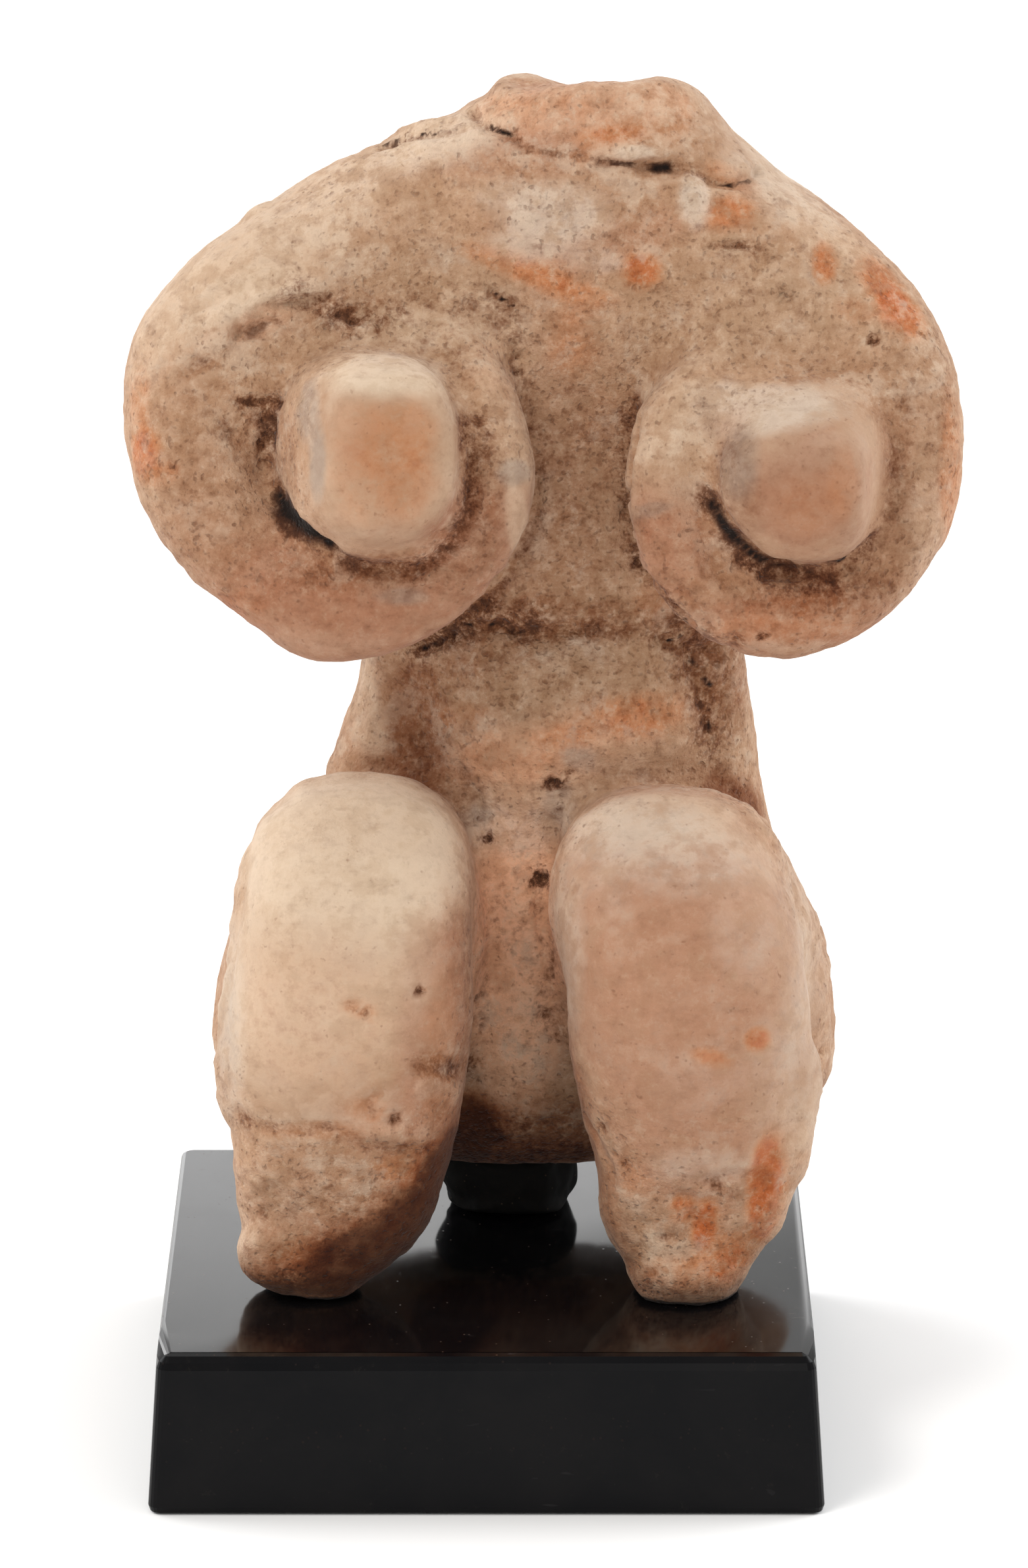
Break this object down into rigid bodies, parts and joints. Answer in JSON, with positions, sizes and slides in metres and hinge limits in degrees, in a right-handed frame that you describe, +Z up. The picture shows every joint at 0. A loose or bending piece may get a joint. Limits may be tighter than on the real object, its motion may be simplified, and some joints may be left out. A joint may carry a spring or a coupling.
{
  "type": "terracotta mother goddess idol",
  "caption": "Headless seated clay female figure with arms curled under projecting breasts and drawn-up legs, fixed with putty on a low polished black block.",
  "frame": {"origin": "centre of the display block's underside", "axes": "+Z up out of the block, the figure faces -Y, and its own left side is +X"},
  "size_m": [0.0642, 0.0516, 0.1051],
  "materials": {
    "terracotta": "unglazed low-fired clay, matt, pitted, with orange patches and dark dirt in the hollows",
    "black_stone": "polished black, mirror-like on top, with small chips and scratches",
    "black_putty": "dull black fixing putty, uneven"
  },
  "bodies": {
    "root": {"idol": "terracotta", "display_block": "black_stone", "seat_putty": "black_putty"}
  },
  "joints": []
}
